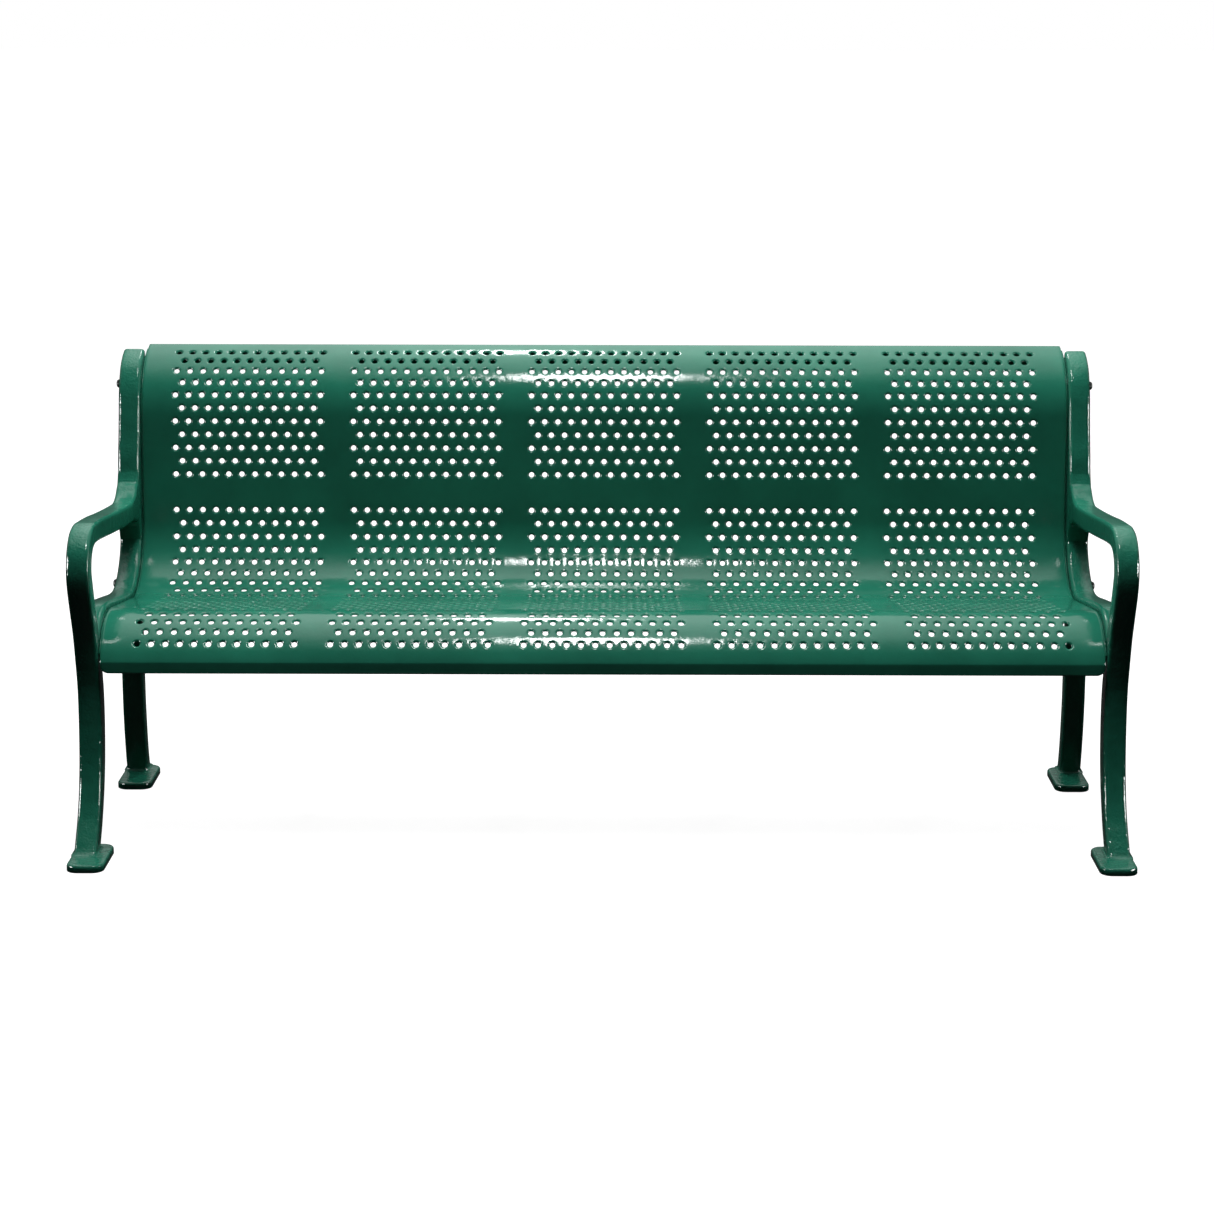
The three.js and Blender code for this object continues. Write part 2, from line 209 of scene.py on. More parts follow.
def new_piece(name, vertices, faces, material, replaced):
    """A smooth-shaded mesh object from millimetre vertices, standing for CAD nodes."""
    mesh = bpy.data.meshes.new(name)
    points = np.asarray(vertices, float) + (0, SHIFT_Y, 0)
    mesh.from_pydata((points * MM).tolist(), [], faces)
    mesh.validate()
    mesh.polygons.foreach_set("use_smooth", [True] * len(mesh.polygons))
    mesh.materials.append(material)
    piece = bpy.data.objects.new(name, mesh)
    bpy.context.scene.collection.objects.link(piece)
    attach(piece, "root")
    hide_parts(*replaced)
    return piece


def ring_faces(rings, count, closed_ends=True):
    """Quads between successive rings of vertices, with a face over each end."""
    faces = []
    for i in range(rings - 1):
        for k in range(count):
            a, b = i * count + k, i * count + (k + 1) % count
            faces.append((a, b, b + count, a + count))
    if closed_ends:
        faces.append(tuple(reversed(range(count))))
        faces.append(tuple(range((rings - 1) * count, rings * count)))
    return faces


def outward(vertices, faces):
    """Turns every face over if the closed mesh they make is inside out."""
    points = np.asarray(vertices, float)
    volume = 0.0
    for face in faces:
        a = points[face[0]]
        for i in range(1, len(face) - 1):
            volume += np.dot(a, np.cross(points[face[i]], points[face[i + 1]]))
    return faces if volume > 0 else [tuple(reversed(face)) for face in faces]


def mirrored(vertices, side):
    """The right-hand side's vertices moved to the given side: -1 for left, 1 for right."""
    return np.asarray(vertices, float) * (side, 1, 1)


def rounded_section(half_width, half_height, radius, arc_steps=5):
    """Outline of a rounded rectangle."""
    points = []
    for quarter, (sx, sy) in enumerate(((1, 1), (-1, 1), (-1, -1), (1, -1))):
        for i in range(arc_steps + 1):
            angle = (quarter + i / arc_steps) * pi / 2
            x = sx * (half_width - radius) + radius * cos(angle)
            y = sy * (half_height - radius) + radius * sin(angle)
            points.append((x, y))
    return np.array(points)


# ------------------------------------------------------------------ bars along a centreline

def smooth_stations(stations, per_span):
    """Centripetal Catmull-Rom through (y, z, thickness) stations."""
    points = np.array(stations, float)
    ends = (2 * points[0] - points[1], 2 * points[-1] - points[-2])
    points = np.vstack([ends[0], points, ends[1]])
    result = []
    for i in range(1, len(points) - 2):
        p0, p1, p2, p3 = points[i - 1:i + 3]
        d0, d1, d2 = (np.linalg.norm(b - a) ** 0.5 for a, b in ((p0, p1), (p1, p2), (p2, p3)))
        m1 = ((p1 - p0) / d0 - (p2 - p0) / (d0 + d1) + (p2 - p1) / d1) * d1
        m2 = ((p2 - p1) / d1 - (p3 - p1) / (d1 + d2) + (p3 - p2) / d2) * d1
        for k in range(per_span):
            t = k / per_span
            h = (2 * t**3 - 3 * t**2 + 1, t**3 - 2 * t**2 + t, 3 * t**2 - 2 * t**3, t**3 - t**2)
            result.append(h[0] * p1 + h[1] * m1 + h[2] * p2 + h[3] * m2)
    result.append(points[-2])
    return np.array(result)


def bar_rings(samples, x_middle, width, radius):
    """Rounded sections square to a centreline, one per (y, z, thickness) sample, as an array of rings."""
    centres = samples[:, :2]
    tangents = np.gradient(centres, axis=0)
    tangents /= np.linalg.norm(tangents, axis=1, keepdims=True)
    across = np.stack([-tangents[:, 1], tangents[:, 0]], axis=1)
    rings = []
    for centre, normal, thickness in zip(centres, across, samples[:, 2]):
        section = rounded_section(width / 2, thickness / 2, radius)
        rings.append(np.column_stack([
            x_middle + section[:, 0],
            centre[0] + section[:, 1] * normal[0],
            centre[1] + section[:, 1] * normal[1],
        ]))
    return np.array(rings)


CAP_STEPS = 4


def cap_rings(ring, towards, radius):
    """Rings that round off an end: the ring shrinks towards its middle as it runs on by the radius."""
    middle = ring.mean(axis=0)
    reach = ring - middle
    lengths = np.linalg.norm(reach, axis=1, keepdims=True)
    caps = []
    for i in range(1, CAP_STEPS + 1):
        angle = i / CAP_STEPS * pi / 2
        shrink = 1 - radius * (1 - cos(angle)) / np.maximum(lengths, radius)
        caps.append(middle + reach * shrink + np.asarray(towards) * radius * sin(angle))
    return caps


def rounded_ends(rings, radius):
    """Adds rounded caps to both ends of a bar."""
    start = rings[0].mean(axis=0) - rings[1].mean(axis=0)
    end = rings[-1].mean(axis=0) - rings[-2].mean(axis=0)
    start /= np.linalg.norm(start)
    end /= np.linalg.norm(end)
    first = cap_rings(rings[0], start, radius)
    last = cap_rings(rings[-1], end, radius)
    return np.array(list(reversed(first)) + list(rings) + last)


WELD_RINGS = (2.5, 1.0, 0.6, 0.3, 0.1, 0.0, -0.5)  # heights over the foot plate, in weld legs
LEG_CLEARANCE = 2  # from the last sloping ring to the first level one


def standing_on_foot(rings):
    """Ends a leg flat in its foot plate, with a fillet weld round it."""
    heights = FOOT_THICKNESS + WELD * np.array(WELD_RINGS)
    last = max(i for i, ring in enumerate(rings) if ring[:, 2].min() > heights[0] + LEG_CLEARANCE)
    kept = list(rings[:last + 1])
    rising = rings[last:][::-1]
    for height in heights:
        ring = np.empty_like(rings[0])
        for k in range(ring.shape[0]):
            line = rising[:, k]
            ring[k] = [np.interp(height, line[:, 2], line[:, axis]) for axis in range(3)]
        left = min(max(height - FOOT_THICKNESS, 0), WELD)
        grow = WELD - (WELD**2 - (WELD - left) ** 2) ** 0.5
        reach = ring - ring.mean(axis=0)
        reach /= np.linalg.norm(reach, axis=1, keepdims=True)
        kept.append(ring + reach * grow)
    return np.array(kept)


def beside_panel(distance, thickness=MEMBER_THICKNESS):
    """A station of a member that follows the panel."""
    y, z = contour.place(distance, MEMBER_DEPTH)
    return float(y), float(z), thickness


def arc_stations(centre, radius, start, end, thickness, count):
    """Stations of even thickness along an arc between two angles in degrees."""
    angles = np.linspace(radians(start), radians(end), count)
    return [(centre[0] + radius * cos(a), centre[1] + radius * sin(a), thickness) for a in angles]


# (y, z, thickness) along each bar's middle line
BACK_STATIONS = [
    (362, 830, 46), (341, 821, 46), (321, 806, 46), (304, 776, 46), (290, 722, 44),
    (284, 684, 50), (277, 650, 56), (274, 614, 62), (271, 572, 68), (272, 532, 62),
    beside_panel(CREASE_END - 25, 44),
]
SEAT_STATIONS = [beside_panel(CREASE_END - back) for back in (60, 100, 140, 180)] + [
    beside_panel(SEAT_END),
    beside_panel(SEAT_END - SEAT_STRAIGHT / 2),
    beside_panel(LIP_END),
] + [beside_panel(LIP_END * share) for share in (0.8, 0.55, 0.3)]
ARM_STATIONS = [
    (262, 559, 196), (250, 559, 160), (245, 559, 132), (241, 559, 112), (236, 559, 94), (228, 559, 78),
    (217, 558, 63), (203, 557, 50), (187, 556, 42), (165, 555, 39), (145, 556, 39),
    (90, 560, 40), (30, 566, 39), (-48, 574, 39), (-120, 582, 39), (-190, 588, 38),
]
ARM_BEND = arc_stations((-226, 530), 59, 90, 180, 39, 4)
FRONT_LEG_STATIONS = [
    (-280, 506, 41), (-262, 460, 40), (-243, 415, 40), (-225, 355, 43), (-213, 312, 48),
    (-209, 268, 51), (-213, 198, 50), (-223, 145, 47), (-242, 94, 42), (-262, 58, 41),
    (-284, 28, 42), (-310, -8, 44),
]
REAR_LEG_STATIONS = [
    (236, 434, 42), (236, 320, 42), (236, 210, 42), (237, 155, 42), (242, 104, 42),
    (247, 72, 41), (254, 38, 41), (268, -8, 42),
]
PER_SPAN = 8


def build_bar(name, stations, side, material, node, width, on_foot):
    """One bar of an end frame, which either stands on a foot or has two free ends."""
    rings = bar_rings(smooth_stations(stations, PER_SPAN), FRAME_MIDDLE, width, FRAME_ROUND)
    if on_foot:
        rings = standing_on_foot(rings)
    else:
        rings = rounded_ends(rings, FRAME_CAP)
    vertices = mirrored(rings.reshape(-1, 3), side)
    faces = outward(vertices, ring_faces(len(rings), rings.shape[1]))
    return new_piece(name, vertices, faces, material, [node])


# ------------------------------------------------------------------ the perforated panel

RIM = [  # (radius, depth) round a hole, from the upper face through the sheet to the lower face
    (9.6, 0.0), (8.6, 0.09), (7.9, 0.42), (7.1, 1.05), (6.3, 1.8), (5.65, 2.5), (5.25, 3.1),
    (5.3, 3.6), (5.8, 4.1), (6.9, 4.5),
]
CELL = 4  # grid squares along each side of the cell round a hole
HALF_CELL = CELL // 2
PLAIN_ROW = 6.4  # about the height of the grid squares where there are no holes
FRONT_FLANGE_ROWS, FRONT_FOLD_ROWS = 5, 3
TOP_ROWS, REAR_FOLD_ROWS, REAR_FLANGE_ROWS = 4, 6, 3
EDGE_STEPS = 6  # round the sheet's edge


def spread(start, end, steps):
    """Even steps that leave out the start."""
    return list(np.linspace(start, end, steps + 1)[1:])


def hole_fields(top):
    """Distances of the rows of holes along the sheet, downwards from its top edge, field by field."""
    field_pitch = (FIELD_ROWS - 1) * ROW_PITCH + PLAIN_BAND
    firsts = [top - FIRST_ROW - field * field_pitch for field in range(FIELDS)]
    return [[first - row * ROW_PITCH for row in range(FIELD_ROWS)] for first in firsts]


def panel_rows(path, contour_start):
    """Distances of the grid's rows along the sheet, and (grid row, distance, shifted) of the holes' rows."""
    rows = [0.0] + spread(0, FRONT_FLANGE, FRONT_FLANGE_ROWS)
    rows += spread(FRONT_FLANGE, contour_start, FRONT_FOLD_ROWS)
    hole_rows = []
    for field in reversed(hole_fields(contour_start + contour.length)):
        low = field[-1] - ROW_PITCH / 2
        rows += spread(rows[-1], low, max(2, round((low - rows[-1]) / PLAIN_ROW)))
        for row in reversed(range(FIELD_ROWS)):
            centre = field[row]
            hole_rows.append((len(rows) - 1 + HALF_CELL, centre, row % 2))
            rows += spread(centre - ROW_PITCH / 2, centre + ROW_PITCH / 2, CELL)
    fold_start, fold_end = path.segments[-2][0], path.segments[-1][0]
    rows += spread(rows[-1], fold_start, TOP_ROWS)
    rows += spread(fold_start, fold_end, REAR_FOLD_ROWS)
    rows += spread(fold_end, path.length, REAR_FLANGE_ROWS)
    return np.array(rows), hole_rows


def rounded_corners(u, s):
    """Moves the grid's points near the front flange's lower corners onto rounded corners."""
    limit = np.abs(u).max() - CORNER_RADIUS
    a = np.clip((np.abs(u) - limit) / CORNER_RADIUS, 0, 1)
    b = np.clip((CORNER_RADIUS - s) / CORNER_RADIUS, 0, 1)
    new_u = np.where(a > 0, np.sign(u) * (limit + CORNER_RADIUS * a * np.sqrt(1 - b**2 / 2)), u)
    new_s = np.where(b > 0, CORNER_RADIUS * (1 - b * np.sqrt(1 - a**2 / 2)), s)
    return new_u, new_s


def panel_grid(path, contour_start):
    """The grid's points along the bench (u) and along the sheet (s), and every hole in it."""
    rows, hole_rows = panel_rows(path, contour_start)
    reach = PANEL_PITCHES * CELL // 2
    columns = np.arange(-reach, reach + 1) * (PITCH / CELL)
    for lines in (columns, rows):
        lines[0] += SHEET / 2
        lines[-1] -= SHEET / 2
    grid_u, grid_s = rounded_corners(*np.meshgrid(columns, rows - rows[0]))
    return grid_u, grid_s + rows[0], hole_places(columns, hole_rows)


def hole_places(columns, hole_rows):
    """(grid row, grid column, u, s) of the middle of every hole."""
    holes = []
    for row, centre, shifted in hole_rows:
        for group in range(GROUPS):
            first = round((FIRST_HOLE + group * GROUP_STEP) * CELL) + shifted * HALF_CELL
            for column in range(first, first + (GROUP_HOLES - shifted) * CELL, CELL):
                holes.append((row, column, columns[column], centre))
    return holes


def punched(shape, holes):
    """Which grid squares are sheet once the holes' cells are left out, and which points they use."""
    filled = np.ones((shape[0] - 1, shape[1] - 1), bool)
    used = np.ones(shape, bool)
    for row, column, _, _ in holes:
        filled[row - HALF_CELL:row + HALF_CELL, column - HALF_CELL:column + HALF_CELL] = False
        used[row - HALF_CELL + 1:row + HALF_CELL, column - HALF_CELL + 1:column + HALF_CELL] = False
    return filled, used


def cell_border():
    """(row, column) steps from a hole's middle to the grid points round its cell."""
    run = range(-HALF_CELL, HALF_CELL)
    border = [(-HALF_CELL, k) for k in run] + [(k, HALF_CELL) for k in run]
    border += [(HALF_CELL, -k) for k in run] + [(-k, -HALF_CELL) for k in run]
    return np.array(border)


def hole_rims(holes, index, side_count, first_vertex):
    """(u, s, depth) of the rims' points, and the faces from the upper face through each hole."""
    border = cell_border()
    corner_angle = -3 * pi / 4
    angles = np.arange(len(border)) * 2 * pi / len(border) + corner_angle
    centres = np.array([hole[2:] for hole in holes])
    radius, depth = np.array(RIM).T
    rim_u = centres[:, 0, None, None] + radius[:, None] * np.cos(angles)
    rim_s = centres[:, 1, None, None] + radius[:, None] * np.sin(angles)
    rim_depth = np.broadcast_to(depth[:, None], rim_u.shape)
    points = np.stack([rim_u, rim_s, rim_depth], axis=-1).reshape(-1, 3)

    middles = np.array([hole[:2] for hole in holes])
    upper = index[middles[:, :1] + border[:, 0], middles[:, 1:] + border[:, 1]][:, None]
    between = first_vertex + np.arange(rim_u.size).reshape(rim_u.shape)
    loops = np.concatenate([upper, between, upper + side_count], axis=1)
    following = np.roll(loops, -1, axis=2)
    faces = np.stack([loops[:, :-1], following[:, :-1], following[:, 1:], loops[:, 1:]], axis=-1)
    return points, faces.reshape(-1, 4)


def outline_places(row_count, column_count):
    """Grid rows and columns of the points once round the sheet."""
    places = [(0, k) for k in range(column_count)]
    places += [(k, column_count - 1) for k in range(1, row_count)]
    places += [(row_count - 1, k) for k in reversed(range(column_count - 1))]
    places += [(k, 0) for k in reversed(range(1, row_count - 1))]
    return tuple(np.array(places).T)


def sheet_edge(grid_u, grid_s, index, side_count, first_vertex):
    """(u, s, depth) points and the faces of the half-round edge all the way round the sheet."""
    outline = outline_places(*grid_u.shape)
    edge = np.column_stack([grid_u[outline], grid_s[outline]])
    along = np.roll(edge, -1, axis=0) - np.roll(edge, 1, axis=0)
    out = np.stack([along[:, 1], -along[:, 0]], axis=1)
    out /= np.linalg.norm(out, axis=1, keepdims=True)
    points = []
    rings = [index[outline]]
    for i in range(1, EDGE_STEPS):
        angle = i / EDGE_STEPS * pi
        depth = np.full(len(edge), SHEET / 2 * (1 - cos(angle)))
        points.append(np.column_stack([edge + out * (SHEET / 2 * sin(angle)), depth]))
        rings.append(first_vertex + (i - 1) * len(edge) + np.arange(len(edge)))
    rings.append(rings[0] + side_count)
    faces = [np.stack([a, b, np.roll(b, -1), np.roll(a, -1)], axis=1) for a, b in zip(rings, rings[1:])]
    return np.concatenate(points), np.concatenate(faces)


def build_panel(material):
    """The folded sheet with its holes: two faces of grid squares, joined at the holes and round the edge."""
    path, contour_start = sheet_path()
    grid_u, grid_s, holes = panel_grid(path, contour_start)
    filled, used = punched(grid_u.shape, holes)
    side_count = int(used.sum())
    index = np.full(grid_u.shape, -1)
    index[used] = np.arange(side_count)
    upper = np.column_stack([grid_u[used], grid_s[used], np.zeros(side_count)])

    r, c = np.nonzero(filled)
    squares = np.stack([index[r, c], index[r, c + 1], index[r + 1, c + 1], index[r + 1, c]], axis=1)
    rim_points, rim_faces = hole_rims(holes, index, side_count, 2 * side_count)
    edge_start = 2 * side_count + len(rim_points)
    edge_points, edge_faces = sheet_edge(grid_u, grid_s, index, side_count, edge_start)

    u, s, depth = np.concatenate([upper, upper + (0, 0, SHEET), rim_points, edge_points]).T
    vertices = np.column_stack([u, *path.place(s, depth)])
    faces = np.concatenate([squares, squares[:, ::-1] + side_count, rim_faces, edge_faces]).tolist()
    return new_piece("perforated_panel", vertices, faces, material, ["seat_back_panel"])


# ------------------------------------------------------------------ plates under the panel

PLATE_RINGS = 110


def build_plate(name, x_middle, material, node):
    """An upright plate that follows the underside of the panel."""
    distances = np.linspace(PLATE_END, contour.length - PLATE_END, PLATE_RINGS)
    y, z = contour.place(distances, SHEET + GAP + PLATE_DEPTH / 2)
    samples = np.stack([y, z, np.full(len(y), PLATE_DEPTH)], axis=1)
    rings = rounded_ends(bar_rings(samples, x_middle, PLATE_THICKNESS, PLATE_ROUND), PLATE_CAP)
    vertices = rings.reshape(-1, 3)
    faces = outward(vertices, ring_faces(len(rings), rings.shape[1]))
    return new_piece(name, vertices, faces, material, [node])


# ------------------------------------------------------------------ foot plates

FOOT_ROUND_STEPS, FOOT_CORNER_STEPS = 5, 8
FOOT_TOP_INSETS = (4, 12, 22)  # of the rings across the flat top, from its rounded edge
LEAST_CORNER = 2


def foot_levels():
    """(inset, height) of the rings from the sole up round the edge and in across the top."""
    levels = [(FOOT_BEVEL, 0.0), (0.0, FOOT_BEVEL), (0.0, FOOT_THICKNESS - FOOT_ROUND)]
    for i in range(1, FOOT_ROUND_STEPS + 1):
        angle = i / FOOT_ROUND_STEPS * pi / 2
        levels.append((FOOT_ROUND * (1 - cos(angle)), FOOT_THICKNESS - FOOT_ROUND * (1 - sin(angle))))
    return levels + [(FOOT_ROUND + inset, FOOT_THICKNESS) for inset in FOOT_TOP_INSETS]


def build_foot(name, y_middle, side, material, node):
    """A flat foot plate with round corners and a rounded upper edge."""
    x_middle = FRAME_OUTER + FOOT_OVERHANG - FOOT_WIDTH / 2
    rings = []
    for inset, height in foot_levels():
        corner = max(FOOT_CORNER - inset, LEAST_CORNER)
        half_width, half_length = FOOT_WIDTH / 2 - inset, FOOT_LENGTH / 2 - inset
        section = rounded_section(half_width, half_length, corner, FOOT_CORNER_STEPS)
        level = np.full(len(section), height)
        rings.append(np.column_stack([x_middle + section[:, 0], y_middle + section[:, 1], level]))
    vertices = mirrored(np.concatenate(rings), side)
    faces = outward(vertices, ring_faces(len(rings), len(rings[0])))
    return new_piece(name, vertices, faces, material, [node])


# ------------------------------------------------------------------ fasteners

TURN_STEPS = 48
POINT_RADIUS = 0.2  # of the ring that closes a turned piece on its axis
BOLT_DEPTH = 13  # under the contour
BOLT_RADIUS, BOLT_CHAMFER, BOLT_PAST_NUT = 4, 0.8, 4
HEAD_RADIUS, HEAD_UNDERSIDE, HEAD_CROWN, HEAD_HEIGHT, HEAD_STEPS = 8.5, 8.2, 3.8, 5.5, 9
SOCKET_RADII = (3.3, 3.2)  # of the hexagon's corners, at its mouth and at its floor
SOCKET_MOUTH, SOCKET_FLOOR, SOCKET_TIP = 5.4, 2.6, 2.2  # heights over the underside of the head
WASHER_THICKNESS, WASHER_RADIUS, WASHER_BORE = 2, 10.5, 4.7
WASHER_INNER_EASE, WASHER_OUTER_EASE = 0.3, 0.4
NUT_THICKNESS, NUT_CORNERS, NUT_FACE, NUT_BORE, NUT_CHAMFER = 6.5, 7.5, 6.3, 4.3, 0.7

HEAD_X = FRAME_OUTER + WASHER_THICKNESS + 2 * GAP
PLATE_INNER = FRAME_INNER - GAP - PLATE_THICKNESS


def turned(profile):
    """Revolves (x, radius, hexagonal) entries about the X axis; a hexagon's radius is at its corners."""
    angles = np.arange(TURN_STEPS) * 2 * pi / TURN_STEPS
    hexagon = cos(pi / 6) / np.cos((angles + pi / 6) % (pi / 3) - pi / 6)
    rings = []
    for x, radius, is_hexagon in profile:
        reach = radius * (hexagon if is_hexagon else 1)
        level = np.full(TURN_STEPS, x)
        rings.append(np.column_stack([level, reach * np.cos(angles), reach * np.sin(angles)]))
    return np.concatenate(rings)


def bolt_profile():
    """From the tip behind the nut to the domed head and the hexagon socket in it."""
    tip = PLATE_INNER - NUT_THICKNESS - BOLT_PAST_NUT
    crown_reach = HEAD_RADIUS - HEAD_CROWN
    return [
        (tip, POINT_RADIUS, False),
        (tip, BOLT_RADIUS - BOLT_CHAMFER, False),
        (tip + BOLT_CHAMFER, BOLT_RADIUS, False),
        (HEAD_X, BOLT_RADIUS, False),
        (HEAD_X, HEAD_UNDERSIDE, False),
        *((HEAD_X + HEAD_HEIGHT * sin(a), HEAD_CROWN + crown_reach * cos(a), False)
          for a in np.linspace(0, pi / 2, HEAD_STEPS)),
        (HEAD_X + SOCKET_MOUTH, SOCKET_RADII[0], True),
        (HEAD_X + SOCKET_FLOOR, SOCKET_RADII[1], True),
        (HEAD_X + SOCKET_TIP, POINT_RADIUS, False),
    ]


def washer_profile():
    """A flat ring with eased outer edges, against the outside of the frame."""
    low = FRAME_OUTER + GAP
    high = low + WASHER_THICKNESS
    return [
        (low, WASHER_BORE, False),
        (low, WASHER_RADIUS - WASHER_INNER_EASE, False),
        (low + WASHER_INNER_EASE, WASHER_RADIUS, False),
        (high - WASHER_OUTER_EASE, WASHER_RADIUS, False),
        (high, WASHER_RADIUS - WASHER_OUTER_EASE, False),
        (high, WASHER_BORE, False),
        (low, WASHER_BORE, False),
    ]


def nut_profile():
    """A chamfered hexagon nut against the inside of the end plate."""
    high = PLATE_INNER - GAP
    low = high - NUT_THICKNESS
    return [
        (low, NUT_BORE, False),
        (low, NUT_FACE, False),
        (low + NUT_CHAMFER, NUT_CORNERS, True),
        (high - NUT_CHAMFER, NUT_CORNERS, True),
        (high, NUT_FACE, False),
        (high, NUT_BORE, False),
        (low, NUT_BORE, False),
    ]


def build_fastener(name, profile, at, side, material, node):
    """A turned piece at (y, z); a profile that ends where it starts leaves a bore through it."""
    vertices = mirrored(turned(profile) + (0, *at), side)
    solid = profile[0] != profile[-1]
    faces = outward(vertices, ring_faces(len(profile), TURN_STEPS, closed_ends=solid))
    return new_piece(name, vertices, faces, material, [node])


# ------------------------------------------------------------------ materials

def ramp(tree, source, stops):
    """Colours by (position, colour) stops."""
    node = tree.nodes.new("ShaderNodeValToRGB")
    elements = node.color_ramp.elements
    while len(elements) < len(stops):
        elements.new(0.5)
    for element, (position, colour) in zip(elements, stops):
        element.position = position
        element.color = (*colour, 1)
    tree.links.new(source, node.inputs["Fac"])
    return node.outputs["Color"]


def noise(tree, coordinates, scale, detail, roughness):
    """Noise of the given scale per metre."""
    node = tree.nodes.new("ShaderNodeTexNoise")
    node.inputs["Scale"].default_value = scale
    node.inputs["Detail"].default_value = detail
    node.inputs["Roughness"].default_value = roughness
    tree.links.new(coordinates, node.inputs["Vector"])
    return node.outputs["Fac"]


def bump(tree, height, distance, normal=None):
    """A bump of the given height in metres, over another one if that is given."""
    node = tree.nodes.new("ShaderNodeBump")
    node.inputs["Distance"].default_value = distance
    node.inputs["Strength"].default_value = 1.0
    tree.links.new(height, node.inputs["Height"])
    if normal is not None:
        tree.links.new(normal, node.inputs["Normal"])
    return node.outputs["Normal"]


def grey(value):
    """The three equal parts of a grey."""
    return (value, value, value)


def new_material(name):
    """A material, its node tree, its shader and the socket for places on the object in metres."""
    material = bpy.data.materials.new(name)
    material.use_nodes = True
    tree = material.node_tree
    position = tree.nodes.new("ShaderNodeTexCoord").outputs["Object"]
    return material, tree, tree.nodes["Principled BSDF"], position


GREEN = (0.013, 0.137, 0.086)
DARKEST, LIGHTEST = 0.86, 1.12  # the colour's drift
FINE_GRAIN_HEIGHT = 0.00001  # metres


def coating(name, gloss, peel_scale, peel_height):
    """A thick glossy coating: slight colour drift, uneven gloss and orange peel (height in metres)."""
    material, tree, shader, position = new_material(name)
    darker, lighter = (tuple(share * c for c in GREEN) for share in (DARKEST, LIGHTEST))
    drift = noise(tree, position, scale=7, detail=4, roughness=0.55)
    tree.links.new(ramp(tree, drift, [(0.32, darker), (0.68, lighter)]), shader.inputs["Base Color"])
    uneven = noise(tree, position, scale=34, detail=5, roughness=0.6)
    smooth, rough = (grey(roughness) for roughness in gloss)
    tree.links.new(ramp(tree, uneven, [(0.3, smooth), (0.7, rough)]), shader.inputs["Roughness"])
    broad_waves = noise(tree, position, scale=0.4 * peel_scale, detail=1.5, roughness=0.4)
    small_waves = noise(tree, position, scale=2 * peel_scale, detail=1.5, roughness=0.4)
    fine_grain = noise(tree, position, scale=950, detail=2, roughness=0.5)
    normal = bump(tree, broad_waves, peel_height)
    normal = bump(tree, small_waves, 0.4 * peel_height, normal)
    normal = bump(tree, fine_grain, FINE_GRAIN_HEIGHT, normal)
    tree.links.new(normal, shader.inputs["Normal"])
    shader.inputs["Specular IOR Level"].default_value = 0.5
    return material


BLACKENED, WORN = (0.012, 0.016, 0.015), (0.05, 0.058, 0.055)
STEEL_GLOSS = (0.3, 0.48)
STEEL_GRAIN_HEIGHT = 0.00004  # metres


def dark_steel():
    """Blackened steel of the fasteners, worn a little brighter in patches."""
    material, tree, shader, position = new_material("fastener_steel")
    wear = noise(tree, position, scale=240, detail=4, roughness=0.6)
    tree.links.new(ramp(tree, wear, [(0.35, BLACKENED), (0.75, WORN)]), shader.inputs["Base Color"])
    smooth, rough = (grey(roughness) for roughness in STEEL_GLOSS)
    tree.links.new(ramp(tree, wear, [(0.3, smooth), (0.7, rough)]), shader.inputs["Roughness"])
    grain = noise(tree, position, scale=900, detail=3, roughness=0.5)
    tree.links.new(bump(tree, grain, STEEL_GRAIN_HEIGHT), shader.inputs["Normal"])
    shader.inputs["Metallic"].default_value = 0.7
    return material


# ------------------------------------------------------------------ stage and light

FLOOR_REACH = 60  # metres
FLOOR_GREY, FLOOR_GLOW = 0.3, 0.9


def add_floor():
    """A plain pale floor that glows by itself, and neither lights the bench nor shows in its gloss."""
    corners = [(x * FLOOR_REACH, y * FLOOR_REACH, 0) for x, y in ((-1, -1), (1, -1), (1, 1), (-1, 1))]
    mesh = bpy.data.meshes.new("floor")
    mesh.from_pydata(corners, [], [(0, 1, 2, 3)])
    material = bpy.data.materials.new("floor")
    material.use_nodes = True
    shader = material.node_tree.nodes["Principled BSDF"]
    shader.inputs["Base Color"].default_value = (*grey(FLOOR_GREY), 1)
    shader.inputs["Roughness"].default_value = 0.9
    shader.inputs["Specular IOR Level"].default_value = 0.0
    shader.inputs["Emission Color"].default_value = (*grey(1), 1)
    shader.inputs["Emission Strength"].default_value = FLOOR_GLOW
    mesh.materials.append(material)
    floor = bpy.data.objects.new("floor", mesh)
    bpy.context.scene.collection.objects.link(floor)
    floor.visible_diffuse = False
    floor.visible_glossy = False


def add_area_light(name, place, target, size, power, glossy=True, diffuse=True):
    """An elliptical light aimed at a point, in metres and watts, for gloss, for matt colour or for both."""
    data = bpy.data.lights.new(name, "AREA")
    data.shape = "ELLIPSE"
    data.size, data.size_y = size
    data.energy = power
    light = bpy.data.objects.new(name, data)
    bpy.context.scene.collection.objects.link(light)
    light.visible_glossy = glossy
    light.visible_diffuse = diffuse
    light.location = place
    light.rotation_euler = (Vector(target) - Vector(place)).to_track_quat("-Z", "Y").to_euler()


def add_lights():
    """A key light high in front, one behind, one at each side for the bars' edges, and a wide soft fill."""
    add_area_light("key", (-0.05, -1.55, 4.9), target=(0, 0, 0.5), size=(0.55, 1.2), power=80)
    add_area_light("rear_light", (-0.28, 2.3, 4.0), target=(0, 0, 0.6), size=(0.4, 0.5), power=34)
    for x in (-3.2, 3.2):
        add_area_light(
            "side_light", (x, -1.3, 0.9), target=(0, 0, 0.6), size=(1.6, 0.9), power=110, diffuse=False)
    add_area_light(
        "soft_top", (0, 0.3, 4.5), target=(0, 0.1, 0.5), size=(3.5, 3.0), power=175, glossy=False)


